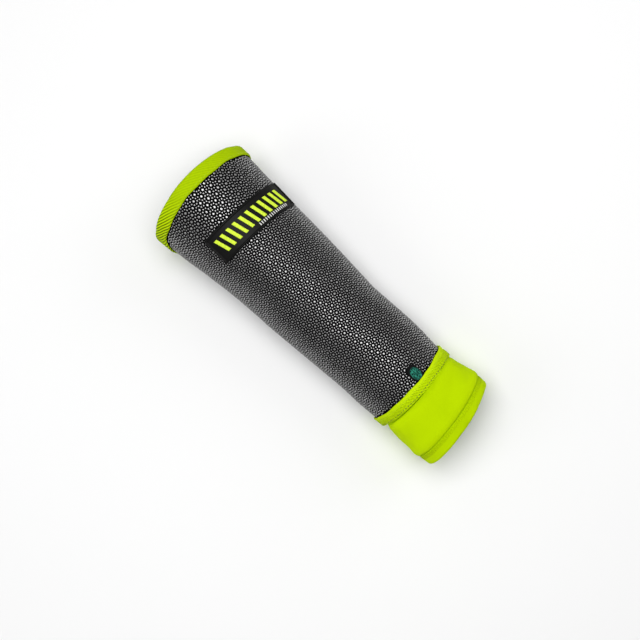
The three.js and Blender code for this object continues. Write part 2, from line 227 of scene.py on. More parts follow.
# Sampling of the tube nodes
ANGLES = np.radians(np.arange(-180.0, 180.0, 1.5))
COLUMNS = 720
FAR_OUT = 0.09
EDGE_STEP = 2.0 * MM
EDGE_TOLERANCE = 0.01 * MM
ROUND_BLUR = 1.6
EDGE_WAVES = (1, 2, 3, 4)
SMALL_STEP = 0.2 * MM
SMALL_TURN = 0.002

# A line inside the tube: its start and length along X, its shift along Y and its fall
AXIS_START = -0.1
AXIS_LENGTH = 0.24
AXIS_SHIFT = -0.0028
AXIS_HEIGHT = 0.035
AXIS_FALL = 0.006


def smooth(value, low, high):
    """0 up to low, 1 from high on, and an even rise between them."""
    t = np.clip((value - low) / (high - low), 0.0, 1.0)
    return t * t * (3.0 - 2.0 * t)


def hump(value, rise, fall):
    """1 between a rise and a fall, and 0 outside them."""
    return smooth(value, *rise) * (1.0 - smooth(value, *fall))


def bell(value, middle, width):
    """1 at the middle, and less and less away from it."""
    return np.exp(-(((value - middle) / width) ** 2))


def uneven(turn, waves):
    """Sum of waves round the tube."""
    return sum(size * np.sin(turn * rate + shift) for size, rate, shift in waves)


# Surfaces to build on
def tree_of(node):
    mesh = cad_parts[node].data
    points = [v.co.copy() for v in mesh.vertices]
    faces = [tuple(p.vertices) for p in mesh.polygons]
    return BVHTree.FromPolygons(points, faces)


def axis_at(x):
    """The line inside the tube, as y and z at a place along X."""
    share = (x - AXIS_START) / AXIS_LENGTH
    return AXIS_SHIFT * share, AXIS_HEIGHT - AXIS_FALL * share


def outer_radius(tree, x, angle):
    y, z = axis_at(x)
    out_y, out_z = math.sin(angle), math.cos(angle)
    origin = Vector((x, y + FAR_OUT * out_y, z + FAR_OUT * out_z))
    hit = tree.ray_cast(origin, Vector((0, -out_y, -out_z)), FAR_OUT)
    return FAR_OUT - hit[3] if hit[0] is not None else math.nan


def rounded_curve(values):
    """A closed curve over ANGLES, kept to its few slowest waves."""
    terms = [np.ones_like(ANGLES)]
    for k in EDGE_WAVES:
        terms += [np.cos(k * ANGLES), np.sin(k * ANGLES)]
    basis = np.stack(terms, 1)
    weights, *_ = np.linalg.lstsq(basis, values, rcond=None)
    return basis @ weights


def edge_curve(tree, side, inside):
    """Where a node's end edge lies along X at each angle, from a place inside it."""
    edge = np.empty(len(ANGLES))
    for k, angle in enumerate(ANGLES):
        x = inside
        step = side * EDGE_STEP
        while abs(step) > EDGE_TOLERANCE:
            if math.isnan(outer_radius(tree, x + step, angle)):
                step /= 2
            else:
                x += step
        edge[k] = x
    return rounded_curve(edge)


def blurred(grid, sigma, axis, wrap):
    reach = int(math.ceil(3 * sigma))
    kernel = np.exp(-0.5 * (np.arange(-reach, reach + 1) / sigma) ** 2)
    kernel /= kernel.sum()
    width = [(0, 0), (0, 0)]
    width[axis] = (reach, reach)
    padded = np.pad(grid, width, mode="wrap" if wrap else "edge")
    return np.apply_along_axis(lambda line: np.convolve(line, kernel, "valid"), axis, padded)


class Skin:
    """Outer surface of a tube node of the frame, as rows along it and columns round it."""

    def __init__(self, node, inside, leans, blur):
        tree = tree_of(node)
        near = edge_curve(tree, -1, inside[0])
        far = edge_curve(tree, 1, inside[1])
        start, end = near.mean(), far.mean()
        self.length = end - start
        self.rows = int(round(self.length / MM))
        self.step = self.length / self.rows
        s = np.linspace(0.0, self.length, self.rows + 1)
        near_lean, far_lean = leans(s, self.length)
        x = start + s[:, None] + near_lean[:, None] * (near - start)
        x = x + far_lean[:, None] * (far - end)
        self.spread_columns(self.traced(tree, x, blur))
        self.find_normals()

    def traced(self, tree, x, blur):
        """The node's outside at each angle, with its facets smoothed away."""
        radius = np.full(x.shape, math.nan)
        for i in range(x.shape[0]):
            for j, angle in enumerate(ANGLES):
                radius[i, j] = outer_radius(tree, x[i, j], angle)
        for j in range(radius.shape[1]):
            known = np.flatnonzero(~np.isnan(radius[:, j]))
            radius[:, j] = np.interp(np.arange(self.rows + 1), known, radius[known, j])
        radius = blurred(blurred(radius, ROUND_BLUR, 1, True), blur, 0, False)
        y, z = axis_at(x)
        points = np.stack([x, y + radius * np.sin(ANGLES), z + radius * np.cos(ANGLES)], -1)
        return np.concatenate([points, points[:, :1]], 1)

    def spread_columns(self, points):
        """Measure both halves of each row, and place the columns at even turns."""
        run = np.linalg.norm(np.diff(points, axis=1), axis=2)
        arc = np.concatenate([np.zeros((self.rows + 1, 1)), np.cumsum(run, 1)], 1)
        top = len(ANGLES) // 2
        left = arc[:, top]
        right = arc[:, -1] - arc[:, top]
        self.half = np.stack([left, right], 1)
        wanted = np.linspace(-1.0, 1.0, COLUMNS, endpoint=False)
        self.points = np.empty((self.rows + 1, COLUMNS, 3))
        for i in range(self.rows + 1):
            signed = arc[i] - left[i]
            turn = np.where(signed < 0, signed / left[i], signed / right[i])
            for c in range(3):
                self.points[i, :, c] = np.interp(wanted, turn, points[i, :, c])

    def find_normals(self):
        along = np.gradient(self.points, axis=0)
        around = np.roll(self.points, -1, 1) - np.roll(self.points, 1, 1)
        normals = np.cross(along, around)
        self.normals = normals / np.linalg.norm(normals, axis=2, keepdims=True)

    def at(self, s, turn, height=0.0):
        """Point at a place on the cloth and a height over it."""
        s, turn, height = np.broadcast_arrays(s, turn, height)
        i = np.clip(np.floor(s / self.step).astype(int), 0, self.rows - 1)
        u = (s / self.step - i)[..., None]
        place = ((turn + 1.0) % 2.0) * (COLUMNS / 2)
        j = np.floor(place).astype(int) % COLUMNS
        v = (place - np.floor(place))[..., None]
        k = (j + 1) % COLUMNS

        def blend(grid):
            here = grid[i, j] * (1 - u) + grid[i + 1, j] * u
            there = grid[i, k] * (1 - u) + grid[i + 1, k] * u
            return here * (1 - v) + there * v

        normal = blend(self.normals)
        normal /= np.linalg.norm(normal, axis=-1, keepdims=True)
        point = blend(self.points) + normal * height[..., None]
        point[..., 2] = np.maximum(point[..., 2], FLOOR_CLEARANCE)
        return point

    def turn_of(self, s, arc):
        """Turn at an arc length from the top line."""
        rows = np.arange(self.rows + 1)
        place = s / self.step
        left = np.interp(place, rows, self.half[:, 0])
        right = np.interp(place, rows, self.half[:, 1])
        return np.where(arc < 0, arc / left, arc / right)


def body_leans(s, length):
    return 1 - smooth(s, ELBOW_LEAN_HOLD, ELBOW_LEAN_LENGTH), smooth(s, length / 2, length)


def cuff_leans(s, length):
    return 1 - s / length, s / length


BODY = Skin("sleeve_body", inside=(-0.092, 0.097), leans=body_leans, blur=3.0)
CUFF = Skin("knit_cuff", inside=(0.1005, 0.13), leans=cuff_leans, blur=0.8)


def crease(skin, start, end, spread, depth):
    """Press a soft crease into the upper side of a skin, between two places seen from above."""
    place = skin.points[..., :2]
    start, end = np.array(start) * MM, np.array(end) * MM
    run = end - start
    share = np.clip(((place - start) @ run) / (run @ run), 0.0, 1.0)
    away = np.linalg.norm(place - start - share[..., None] * run, axis=-1)
    press = depth * np.exp(-0.5 * (away / spread) ** 2) * smooth(skin.points[..., 2], *CREASE_HEIGHTS)
    skin.points -= skin.normals * press[..., None]


for row in CREASES:
    crease(BODY, *row)
BODY.find_normals()


# Building of meshes
def grid_faces(rows, columns, close_rows, close_columns):
    i = np.arange(rows if close_rows else rows - 1)[:, None]
    j = np.arange(columns if close_columns else columns - 1)[None, :]
    ni = (i + 1) % rows
    nj = (j + 1) % columns
    quads = np.stack([i * columns + j, ni * columns + j, ni * columns + nj, i * columns + nj], -1)
    return quads.reshape(-1, 4)


def build(name, points, faces, material, uv=None, node=None):
    """One shown piece that rides on the frame."""
    mesh = bpy.data.meshes.new(name)
    mesh.from_pydata(points.reshape(-1, 3).tolist(), [], [list(map(int, f)) for f in faces])
    mesh.polygons.foreach_set("use_smooth", [True] * len(mesh.polygons))
    if uv is not None:
        layer = mesh.uv_layers.new(name="cloth")
        layer.data.foreach_set("uv", uv.reshape(-1))
    mesh.materials.append(material)
    mesh.update()
    obj = bpy.data.objects.new(name, mesh)
    bpy.context.scene.collection.objects.link(obj)
    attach(obj, "root")
    if node:
        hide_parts(node)
    return obj


def tube(name, skin, profile, fineness, material, detail=None, node=None):
    """Closed cloth tube, swept round a skin from a closed profile whose outside runs to the cuff."""
    spacing, columns = fineness
    profile = np.array(refined(profile, spacing))
    rows = len(profile)
    turn = np.linspace(-1.0, 1.0, columns, endpoint=False)[None, :]
    s = np.repeat(profile[:, :1], columns, 1)
    height = np.repeat(profile[:, 1:2], columns, 1)
    if detail:
        s, height = detail(s, turn, height)
    points = skin.at(s, turn, height)
    faces = grid_faces(rows, columns, True, True)
    run = np.linalg.norm(np.diff(profile, axis=0, append=profile[:1]), axis=1)
    along = np.concatenate([[0], np.cumsum(run)])
    round_half = skin.half.mean()
    around = np.linspace(-round_half, round_half, columns + 1)
    i = np.repeat(np.arange(rows), columns)
    j = np.tile(np.arange(columns), rows)
    corners = [(i, j), (i + 1, j), (i + 1, j + 1), (i, j + 1)]
    uv = np.stack([np.stack([around[b], along[a]], -1) for a, b in corners], 1) / MM
    return build(name, points, faces, material, uv, node)


def refined(profile, spacing):
    """The same closed profile with points no further apart than a spacing."""
    out = []
    for here, there in zip(profile, profile[1:] + profile[:1]):
        count = max(1, int(math.ceil(math.dist(here, there) / spacing)))
        for k in range(count):
            t = k / count
            out.append((here[0] * (1 - t) + there[0] * t, here[1] * (1 - t) + there[1] * t))
    return out


def fold_profile(edge, inward, reach, wall, thickness):
    """Tape folded over an edge. inward is 1 where the cloth lies towards the cuff, else -1."""
    outer = GAP + thickness
    half = wall / 2 + outer
    points = [(reach, GAP), (-GAP, GAP), (-GAP, -wall - GAP), (reach, -wall - GAP)]
    points += [(reach + EDGE_SWELL, -wall - GAP - thickness / 2), (reach, -wall - outer)]
    for k in range(FOLD_STEPS + 1):
        a = math.pi * (1 - k / FOLD_STEPS)
        points.append((-FOLD_DEPTH * math.sin(a), -wall / 2 + half * math.cos(a)))
    points += [(reach - back, outer - fall * thickness) for back, fall in EDGE_ROUNDING]
    placed = [(edge + inward * s, h) for s, h in points]
    return placed if inward > 0 else placed[::-1]


def slab(name, top, bottom, material, uv, node):
    """Closed plate between two grids of the same size."""
    rows, columns = top.shape[:2]
    count = rows * columns
    points = np.concatenate([top.reshape(-1, 3), bottom.reshape(-1, 3)])
    upper = grid_faces(rows, columns, False, False)
    lower = upper[:, ::-1] + count
    rim = [(0, j) for j in range(columns)]
    rim += [(i, columns - 1) for i in range(1, rows)]
    rim += [(rows - 1, j) for j in range(columns - 2, -1, -1)]
    rim += [(i, 0) for i in range(rows - 2, 0, -1)]
    rim = np.array([i * columns + j for i, j in rim])
    after = np.roll(rim, -1)
    sides = np.stack([rim, after, after + count, rim + count], -1)
    faces = np.concatenate([upper, lower, sides])
    flat = np.concatenate([uv.reshape(-1, 2), uv.reshape(-1, 2)])
    build(name, points, faces, material, flat[faces.reshape(-1)] / MM, node)


def strands(name, centre, ahead, up, length, radius, material):
    """Short rounded threads, one at each centre."""
    centre[:, 2] = np.maximum(centre[:, 2], THREAD_FLOOR_SHARE * radius)
    side = np.cross(up, ahead)
    side /= np.linalg.norm(side, axis=1, keepdims=True)
    parts = []
    for t, swell in THREAD_RINGS:
        middle = centre + ahead * (t * length / 2) - up * (radius * THREAD_DIP * t * t)
        for k in range(THREAD_SIDES):
            a = 2 * math.pi * k / THREAD_SIDES
            parts.append(middle + (side * math.cos(a) + up * math.sin(a)) * (radius * swell))
    points = np.stack(parts, 1)
    ring = grid_faces(len(THREAD_RINGS), THREAD_SIDES, False, True)
    per = len(THREAD_RINGS) * THREAD_SIDES
    first_cap = list(range(THREAD_SIDES))[::-1]
    last_cap = list(range(per - THREAD_SIDES, per))
    faces = []
    for n in range(len(centre)):
        faces.extend((ring + n * per).tolist())
        faces.append([c + n * per for c in first_cap])
        faces.append([c + n * per for c in last_cap])
    build(name, points, faces, material)


def directions(skin, s, turn):
    """Unit vectors along the tube, round it and out of it."""
    here = skin.at(s, turn)
    along = skin.at(s + SMALL_STEP, turn) - here
    around = skin.at(s, turn + SMALL_TURN) - here
    along /= np.linalg.norm(along, axis=-1, keepdims=True)
    around /= np.linalg.norm(around, axis=-1, keepdims=True)
    return along, around, np.cross(along, around)


def stitch_row(name, skin, line, height, stitch, material):
    """A row of stitches round the tube. line gives its distance along the tube at each turn."""
    pitch, length, radius = stitch
    count = int(round(2 * skin.half.mean() / pitch))
    turn = np.linspace(-1, 1, count, endpoint=False)
    s = line(turn)
    _, around, out = directions(skin, s, turn)
    strands(name, skin.at(s, turn, height), around, out, length, radius, material)


# Materials
class Shader:
    """A Principled material and short ways to add nodes to it."""

    def __init__(self, name, color, roughness, **more):
        self.material = bpy.data.materials.new(name)
        self.material.use_nodes = True
        self.nodes = self.material.node_tree.nodes
        self.links = self.material.node_tree.links
        self.shader = self.nodes["Principled BSDF"]
        self.shader.inputs["Base Color"].default_value = (*color, 1.0)
        self.shader.inputs["Roughness"].default_value = roughness
        for key, value in more.items():
            self.shader.inputs[key.replace("_", " ")].default_value = value

    def link(self, source, target):
        self.links.new(source, target)

    def add(self, kind, **settings):
        node = self.nodes.new(kind)
        for key, value in settings.items():
            setattr(node, key, value)
        return node

    def mapped(self, source, scale, turn):
        mapping = self.add("ShaderNodeMapping")
        mapping.inputs["Scale"].default_value = scale
        mapping.inputs["Rotation"].default_value = (0, 0, math.radians(turn))
        self.link(source, mapping.inputs["Vector"])
        return mapping.outputs[0]

    def cloth(self, scale=(1, 1, 1), turn=0.0):
        """Place on the cloth in mm, round it and along it."""
        source = self.add("ShaderNodeUVMap", uv_map="cloth").outputs[0]
        return self.mapped(source, scale, turn)

    def cloth_numbers(self):
        """The same place as two numbers."""
        split = self.add("ShaderNodeSeparateXYZ")
        self.link(self.cloth(), split.inputs[0])
        return split.outputs[0], split.outputs[1]

    def space(self):
        """Place in space in metres."""
        source = self.add("ShaderNodeTexCoord").outputs["Object"]
        return self.mapped(source, (1, 1, 1), 0.0)

    def noise(self, vector, scale, detail=2.0, rough=0.5):
        node = self.add("ShaderNodeTexNoise")
        node.inputs["Scale"].default_value = scale
        node.inputs["Detail"].default_value = detail
        node.inputs["Roughness"].default_value = rough
        self.link(vector, node.inputs["Vector"])
        return node.outputs["Fac"]

    def wave(self, vector, scale, distortion=0.0):
        node = self.add("ShaderNodeTexWave", bands_direction="X")
        node.inputs["Scale"].default_value = scale
        node.inputs["Distortion"].default_value = distortion
        self.link(vector, node.inputs["Vector"])
        return node.outputs["Fac"]

    def math(self, operation, a, b=None):
        node = self.add("ShaderNodeMath", operation=operation)
        for slot, value in zip(node.inputs, (a, b)):
            if value is None:
                continue
            if isinstance(value, (int, float)):
                slot.default_value = value
            else:
                self.link(value, slot)
        return node.outputs[0]

    def scaled(self, value, factor, offset=0.0):
        return self.math("ADD", self.math("MULTIPLY", value, factor), offset)

    def weighed(self, *pairs):
        """Sum of numbers, each given with its weight."""
        parts = [self.math("MULTIPLY", value, weight) for value, weight in pairs]
        total = parts[0]
        for part in parts[1:]:
            total = self.math("ADD", total, part)
        return total

    def ramp(self, factor, stops):
        """Colour from a number. stops: a place and a colour or a grey level each."""
        node = self.add("ShaderNodeValToRGB")
        elements = node.color_ramp.elements
        while len(elements) < len(stops):
            elements.new(0.5)
        for element, (place, color) in zip(elements, stops):
            element.position = place
            element.color = (*color, 1.0) if isinstance(color, tuple) else (color, color, color, 1.0)
        self.link(factor, node.inputs["Fac"])
        return node.outputs["Color"]

    def mix(self, factor, a, b):
        node = self.add("ShaderNodeMix", data_type="RGBA")
        self.link(factor, node.inputs["Factor"])
        for slot, value in (("A", a), ("B", b)):
            socket = [s for s in node.inputs if s.name == slot and s.type == "RGBA"][0]
            if isinstance(value, tuple):
                socket.default_value = (*value, 1.0)
            else:
                self.link(value, socket)
        return [s for s in node.outputs if s.type == "RGBA"][0]

    def color(self, output):
        self.link(output, self.shader.inputs["Base Color"])

    def rough(self, output):
        self.link(output, self.shader.inputs["Roughness"])

    def bump(self, height, distance, strength):
        node = self.add("ShaderNodeBump")
        node.inputs["Strength"].default_value = strength
        node.inputs["Distance"].default_value = distance
        self.link(height, node.inputs["Height"])
        self.link(node.outputs["Normal"], self.shader.inputs["Normal"])


def tone(*levels):
    """Linear colour of an sRGB one in 0 to 255."""
    return tuple(((c / 255 + 0.055) / 1.055) ** 2.4 if c > 10 else c / 255 / 12.92 for c in levels)


HI_VIS = tone(176, 208, 0)
HI_VIS_OLIVE = tone(84, 100, 0)
HI_VIS_DARK = tone(118, 140, 0)
HI_VIS_SHADE = tone(149, 178, 0)
HI_VIS_PLAIN = tone(160, 190, 0)
HI_VIS_LIGHT = tone(192, 222, 8)
# Painted light: the paler knit colour mixed in towards the cuff's sides, where less light falls
HI_VIS_PAINTED_LIGHT = tone(204, 238, 0)
PATCH_BLACK = tone(13, 13, 12)
TAB_BLACK = tone(6, 7, 7)

# Slanted ribs of the tape: turn in degrees, scale, width of the tape's map in mm, and
# how strongly they show at places across that map
RIB_TURN = -122
RIB_SCALE = 0.2
RIB_MAP = 260
RIB_STRENGTH = [(0.24, 0.25), (0.285, 1.0), (0.38, 1.0), (0.46, 0.12)]

# Places along the cloth map in cm, with a strength: where the mottled half of the
# wrist tape starts, and where the mottled line of the hem ends
CM_PER_MM = 0.1
BAND_START = [(0.36, 0.0), (0.43, 1.0)]
HEM_LINE_END = [(0.32, 1.0), (0.4, 0.0)]
MOTTLE_SCALE = (1.0, 1.6, 1.0)

# Painted light on the knit, which is painted paler towards its sides, where less light falls:
# how it grows with each mm away from the top line, its most, and where it fades on the underside
PAINTED_LIGHT_LEFT = -1 / 60
PAINTED_LIGHT_RIGHT = 1 / 140
PAINTED_LIGHT_ON_TOP = 0.02
PAINTED_LIGHT_MOST = 0.85
PAINTED_LIGHT_END = 95.0
PAINTED_LIGHT_FADE = 1 / 50

# Oval on the tab, in mm on its own map
OVAL_HALF_WIDTH = 3.6
OVAL_HALF_LENGTH = 4.9
OVAL_MIDDLE = 6.9


def base_material():
    m = Shader("guard_base", tone(18, 18, 19), 0.9, Specular_IOR_Level=0.03)
    weave = m.math("MULTIPLY", m.wave(m.cloth(), 1.1), m.wave(m.cloth(turn=90), 1.1))
    grain = m.noise(m.space(), 400, 3)
    shade = m.weighed((weave, 0.6), (grain, 0.4))
    m.color(m.ramp(shade, [(0.2, tone(3, 3, 4)), (0.9, tone(20, 20, 22))]))
    m.bump(weave, 0.08 * MM, 0.6)
    return m.material


def plate_material():
    """Hard resin, which mirrors more than cloth does."""
    m = Shader("guard_plates", tone(50, 48, 48), 0.35, Specular_IOR_Level=1.0, IOR=2.15)
    spots = m.noise(m.space(), 90, 3)
    m.color(m.ramp(spots, [(0.3, tone(32, 30, 30)), (0.7, tone(44, 42, 42))]))
    m.rough(m.scaled(m.noise(m.space(), 900, 2), 0.1, 0.3))
    return m.material


def tape_material():
    """Tape with slanted ribs, which show most at the -Y side."""
    m = Shader("hi_vis_tape", HI_VIS, 0.8, Specular_IOR_Level=0.04)
    ribs = m.wave(m.cloth(turn=RIB_TURN), RIB_SCALE, 0.8)
    grain = m.noise(m.space(), 700, 3, 0.6)
    across, _ = m.cloth_numbers()
    strong = m.ramp(m.scaled(across, 1 / RIB_MAP, 0.5), RIB_STRENGTH)
    shade = m.weighed((ribs, 0.8), (grain, 0.2))
    ribbed = m.ramp(shade, [(0.2, HI_VIS_OLIVE), (0.55, HI_VIS), (0.9, HI_VIS_LIGHT)])
    plain = m.ramp(grain, [(0.2, HI_VIS_SHADE), (0.6, HI_VIS_PLAIN)])
    m.color(m.mix(strong, plain, ribbed))
    height = m.math("MULTIPLY", ribs, m.scaled(strong, 0.9, 0.1))
    m.bump(m.weighed((height, 1.0), (grain, 0.25)), 0.16 * MM, 0.7)
    return m.material


def band_material():
    """Tape whose half next to the cuff is mottled by its zigzag stitches."""
    m = Shader("hi_vis_band", HI_VIS, 0.8, Specular_IOR_Level=0.04)
    zigzag = m.wave(m.cloth(turn=35), 0.26, 1.6)
    spots = m.noise(m.cloth(scale=MOTTLE_SCALE), 1.0, 2, 0.6)
    grain = m.noise(m.space(), 800, 2)
    _, along = m.cloth_numbers()
    outer = m.ramp(m.math("MULTIPLY", along, CM_PER_MM), BAND_START)
    shade = m.weighed((zigzag, 0.3), (spots, 0.7))
    mottled = m.ramp(shade, [(0.3, HI_VIS_DARK), (0.5, HI_VIS), (0.75, HI_VIS_LIGHT)])
    plain = m.ramp(grain, [(0.2, HI_VIS), (0.7, HI_VIS_LIGHT)])
    m.color(m.mix(outer, plain, mottled))
    height = m.math("MULTIPLY", shade, outer)
    m.bump(m.weighed((height, 1.0), (grain, 0.1)), 0.3 * MM, 0.6)
    return m.material


def knit_material(name, light, dark, stitched=False):
    """Soft knit. A stitched one is mottled beside the line where its stitches run."""
    m = Shader(name, light, 0.9, Specular_IOR_Level=0.03)
    wales = m.wave(m.cloth(), 2.2, 0.3)
    courses = m.wave(m.cloth(turn=90), 1.5, 0.3)
    knit = m.math("MULTIPLY", wales, courses)
    fuzz = m.noise(m.space(), 900, 3, 0.6)
    cloud = m.noise(m.space(), 28, 3)
    shade = m.weighed((knit, 0.25), (fuzz, 0.35), (cloud, 0.5))
    knitted = m.ramp(shade, [(0.2, dark), (0.75, light)])
    across, along = m.cloth_numbers()
    # Painted light: the knit is painted paler towards -Y and +Y, where less light falls, fading out on
    # the underside
    left = m.scaled(across, PAINTED_LIGHT_LEFT, PAINTED_LIGHT_ON_TOP)
    right = m.math("MULTIPLY", across, PAINTED_LIGHT_RIGHT)
    to_end = m.math("SUBTRACT", PAINTED_LIGHT_END, m.math("ABSOLUTE", across))
    painted_light = m.math("MINIMUM", m.math("MAXIMUM", left, right), m.math("MULTIPLY", to_end, PAINTED_LIGHT_FADE))
    painted_light = m.math("MAXIMUM", m.math("MINIMUM", painted_light, PAINTED_LIGHT_MOST), 0.0)
    color = m.mix(painted_light, knitted, HI_VIS_PAINTED_LIGHT)
    if stitched:
        spots = m.noise(m.cloth(scale=MOTTLE_SCALE), 1.0, 2, 0.6)
        mottled = m.ramp(spots, [(0.35, HI_VIS_SHADE), (0.62, light)])
        beside = m.ramp(m.math("MULTIPLY", along, CM_PER_MM), HEM_LINE_END)
        color = m.mix(beside, color, mottled)
    m.color(color)
    m.bump(m.weighed((knit, 1.0), (fuzz, 0.5)), 0.08 * MM, 0.5)
    return m.material


def rubber_material():
    m = Shader("patch_rubber", PATCH_BLACK, 0.4, Specular_IOR_Level=0.12)
    grain = m.noise(m.space(), 1400, 4, 0.6)
    smear = m.noise(m.space(), 60, 3)
    m.color(m.ramp(smear, [(0.3, tone(7, 7, 6)), (0.7, tone(14, 14, 14))]))
    m.rough(m.scaled(smear, 0.2, 0.4))
    m.bump(grain, 0.03 * MM, 0.5)
    return m.material


def shaded(color, share):
    return tuple(c * share for c in color)


def ink_material(name, color):
    m = Shader(name, color, 0.6, Specular_IOR_Level=0.15)
    grain = m.noise(m.space(), 900, 3)
    m.color(m.ramp(grain, [(0.25, shaded(color, 0.75)), (0.6, color)]))
    m.bump(grain, 0.02 * MM, 0.4)
    return m.material


def thread_material(name, color):
    m = Shader(name, color, 0.7)
    ply = m.noise(m.space(), 1500, 2)
    m.color(m.ramp(ply, [(0.3, shaded(color, 0.7)), (0.7, color)]))
    m.bump(ply, 0.05 * MM, 0.5)
    return m.material


def tab_material():
    """Black ribbon with an oval of mixed teal threads."""
    m = Shader("woven_tab", tone(10, 50, 42), 0.8, Specular_IOR_Level=0.15)
    ribs = m.wave(m.cloth(), 0.5, 0.6)
    threads = m.noise(m.cloth(scale=(1.0, 0.6, 1.0), turn=35), 1.1, 1, 0.5)
    across, along = m.cloth_numbers()
    wide = m.math("DIVIDE", across, OVAL_HALF_WIDTH)
    long = m.math("DIVIDE", m.math("SUBTRACT", along, OVAL_MIDDLE), OVAL_HALF_LENGTH)
    reach = m.math("ADD", m.math("MULTIPLY", wide, wide), m.math("MULTIPLY", long, long))
    ragged = m.math("ADD", reach, m.scaled(threads, 0.5, -0.25))
    oval = m.ramp(ragged, [(0.85, 1.0), (1.0, 0.0)])
    teal = m.ramp(threads, [(0.42, tone(2, 38, 32)), (0.62, tone(44, 138, 116))])
    m.color(m.mix(oval, TAB_BLACK, teal))
    m.bump(m.weighed((ribs, 1.0), (threads, 2.0)), 0.15 * MM, 0.8)
    return m.material


BASE = base_material()
PLATES = plate_material()
TAPE = tape_material()
BAND = band_material()
KNIT = knit_material("hi_vis_knit", tone(179, 210, 0), tone(167, 198, 0))
HEM = knit_material("hi_vis_hem", tone(177, 209, 0), tone(163, 193, 0), stitched=True)
RUBBER = rubber_material()
HI_VIS_INK = ink_material("hi_vis_ink", tone(212, 238, 62))
WHITE_INK = ink_material("white_ink", tone(225, 225, 222))
TAB = tab_material()
HI_VIS_THREAD = thread_material("hi_vis_thread", tone(176, 204, 20))
OLIVE_THREAD = thread_material("olive_thread", tone(84, 98, 10))
BLACK_THREAD = thread_material("black_thread", tone(32, 32, 33))


# Fabric and guard plates
def make_fabric():
    length = BODY.length
    inner = -BODY_WALL + INNER_CLEARANCE
    points = [(0.0, -BASE_DROP), (length, -BASE_DROP), (length, inner), (0.0, inner)]
    body = tube("sleeve_fabric", BODY, points, FABRIC_MESH, BASE, node="sleeve_body")


def cone_place(across, forward):
    """Distance and turn of a point of the flat pattern, which is cut as part of a ring."""
    radius = np.hypot(CONE_REACH - forward, across)
    bend = np.arctan2(across, CONE_REACH - forward)
    edge_bend = BODY.half[0].mean() / CONE_REACH
    return CONE_REACH - radius, bend / edge_bend


def plate_set(name, centres, radius, rise, rings, sides, turned):
    """Many small domed plates in one mesh, each shaped to the cloth under it."""
    angles = np.linspace(0, 2 * math.pi, sides, endpoint=False) + turned
    offsets = [(0.0, 0.0, rise)]
    for share, lift in rings:
        for a in angles:
            offsets.append((radius * share * math.cos(a), radius * share * math.sin(a), rise * lift))
    offsets = np.array(offsets)
    grow = 1 + RANDOM.uniform(-PLATE_VARIETY, PLATE_VARIETY, len(centres))
    forward = centres[:, :1] + offsets[None, :, 0] * grow[:, None]
    across = centres[:, 1:] + offsets[None, :, 1] * grow[:, None]
    s, turn = cone_place(across, forward)
    points = BODY.at(s, turn, offsets[None, :, 2] * grow[:, None] - BASE_DROP)
    fan = [(0, 1 + k, 1 + (k + 1) % sides) for k in range(sides)]
    for r in range(len(rings) - 1):
        a = 1 + r * sides
        b = a + sides
        for k in range(sides):
            n = (k + 1) % sides
            fan += [(a + k, b + k, b + n), (a + k, b + n, a + n)]
    starts = np.arange(len(centres)) * len(offsets)
    faces = (np.array(fan)[None] + starts[:, None, None]).reshape(-1, 3)
    build(name, points, faces, PLATES)


def plate_centres(share_a, share_b):
    """The plates that lie at one place of each cell, clear of the tapes and the seam."""
    steps = np.arange(-PATTERN_REACH, PATTERN_REACH)
    m, n = np.meshgrid(steps, steps, indexing="ij")
    m, n = m.ravel() + share_a, n.ravel() + share_b
    forward = m * STEP_A[0] + n * STEP_B[0]
    across = m * STEP_A[1] + n * STEP_B[1]
    s, turn = cone_place(across, forward)
    clear = s > elbow_tape_edge(turn) + PLATE_CLEARANCE
    clear &= s < BODY.length - WRIST_TAPE_WIDTH - PLATE_CLEARANCE
    clear &= np.abs(turn) < 1 - SEAM_BAND / BODY.half.mean()
    return np.stack([forward[clear], across[clear]], 1)


def make_plates():
    small = np.concatenate([plate_centres(*place) for place in SMALL_PLACES])
    plate_set("large_plates", plate_centres(0, 0), **LARGE_PLATE)
    plate_set("small_plates_even", small[::2], **SMALL_PLATE)
    plate_set("small_plates_odd", small[1::2], **SMALL_PLATE)


def make_seam():
    """Two lengthwise rows of stitches on the underside, where the fabric is joined."""
    pitch, length, radius = SEAM_STITCH
    first = ELBOW_TAPE_WIDTH + SEAM_ELBOW_MARGIN
    last = BODY.length - WRIST_TAPE_WIDTH - SEAM_WRIST_MARGIN
    s = np.arange(first, last, pitch)
    for name, side in (("seam_stitches_left", -1), ("seam_stitches_right", 1)):
        turn = side * (1 - 0.5 * SEAM_BAND / BODY.half.mean()) * np.ones_like(s)
        along, _, out = directions(BODY, s, turn)
        centre = BODY.at(s, turn, -BASE_DROP + SEAM_RISE)
        strands(name, centre, along, out, length, radius, BLACK_THREAD)


# Tapes and cuff
def elbow_tape_edge(turn):
    """How far the elbow tape reaches: it spreads where it turns under at the -Y side."""
    spread = ELBOW_TAPE_SPREAD * hump(-turn, ELBOW_SPREAD_RISE, ELBOW_SPREAD_FALL)
    return ELBOW_TAPE_WIDTH + spread - ELBOW_TAPE_NARROWING * smooth(turn, *ELBOW_NARROWING_TURNS)


def wrist_tape_spread(turn):
    """How much further the wrist tape reaches over the cuff at the +Y side."""
    return WRIST_TAPE_SPREAD * smooth(turn, *WRIST_SPREAD_TURNS)


def on_outside(height):
    """Whether a point of a tape lies on its outer face."""
    return height > OUTSIDE_HEIGHT


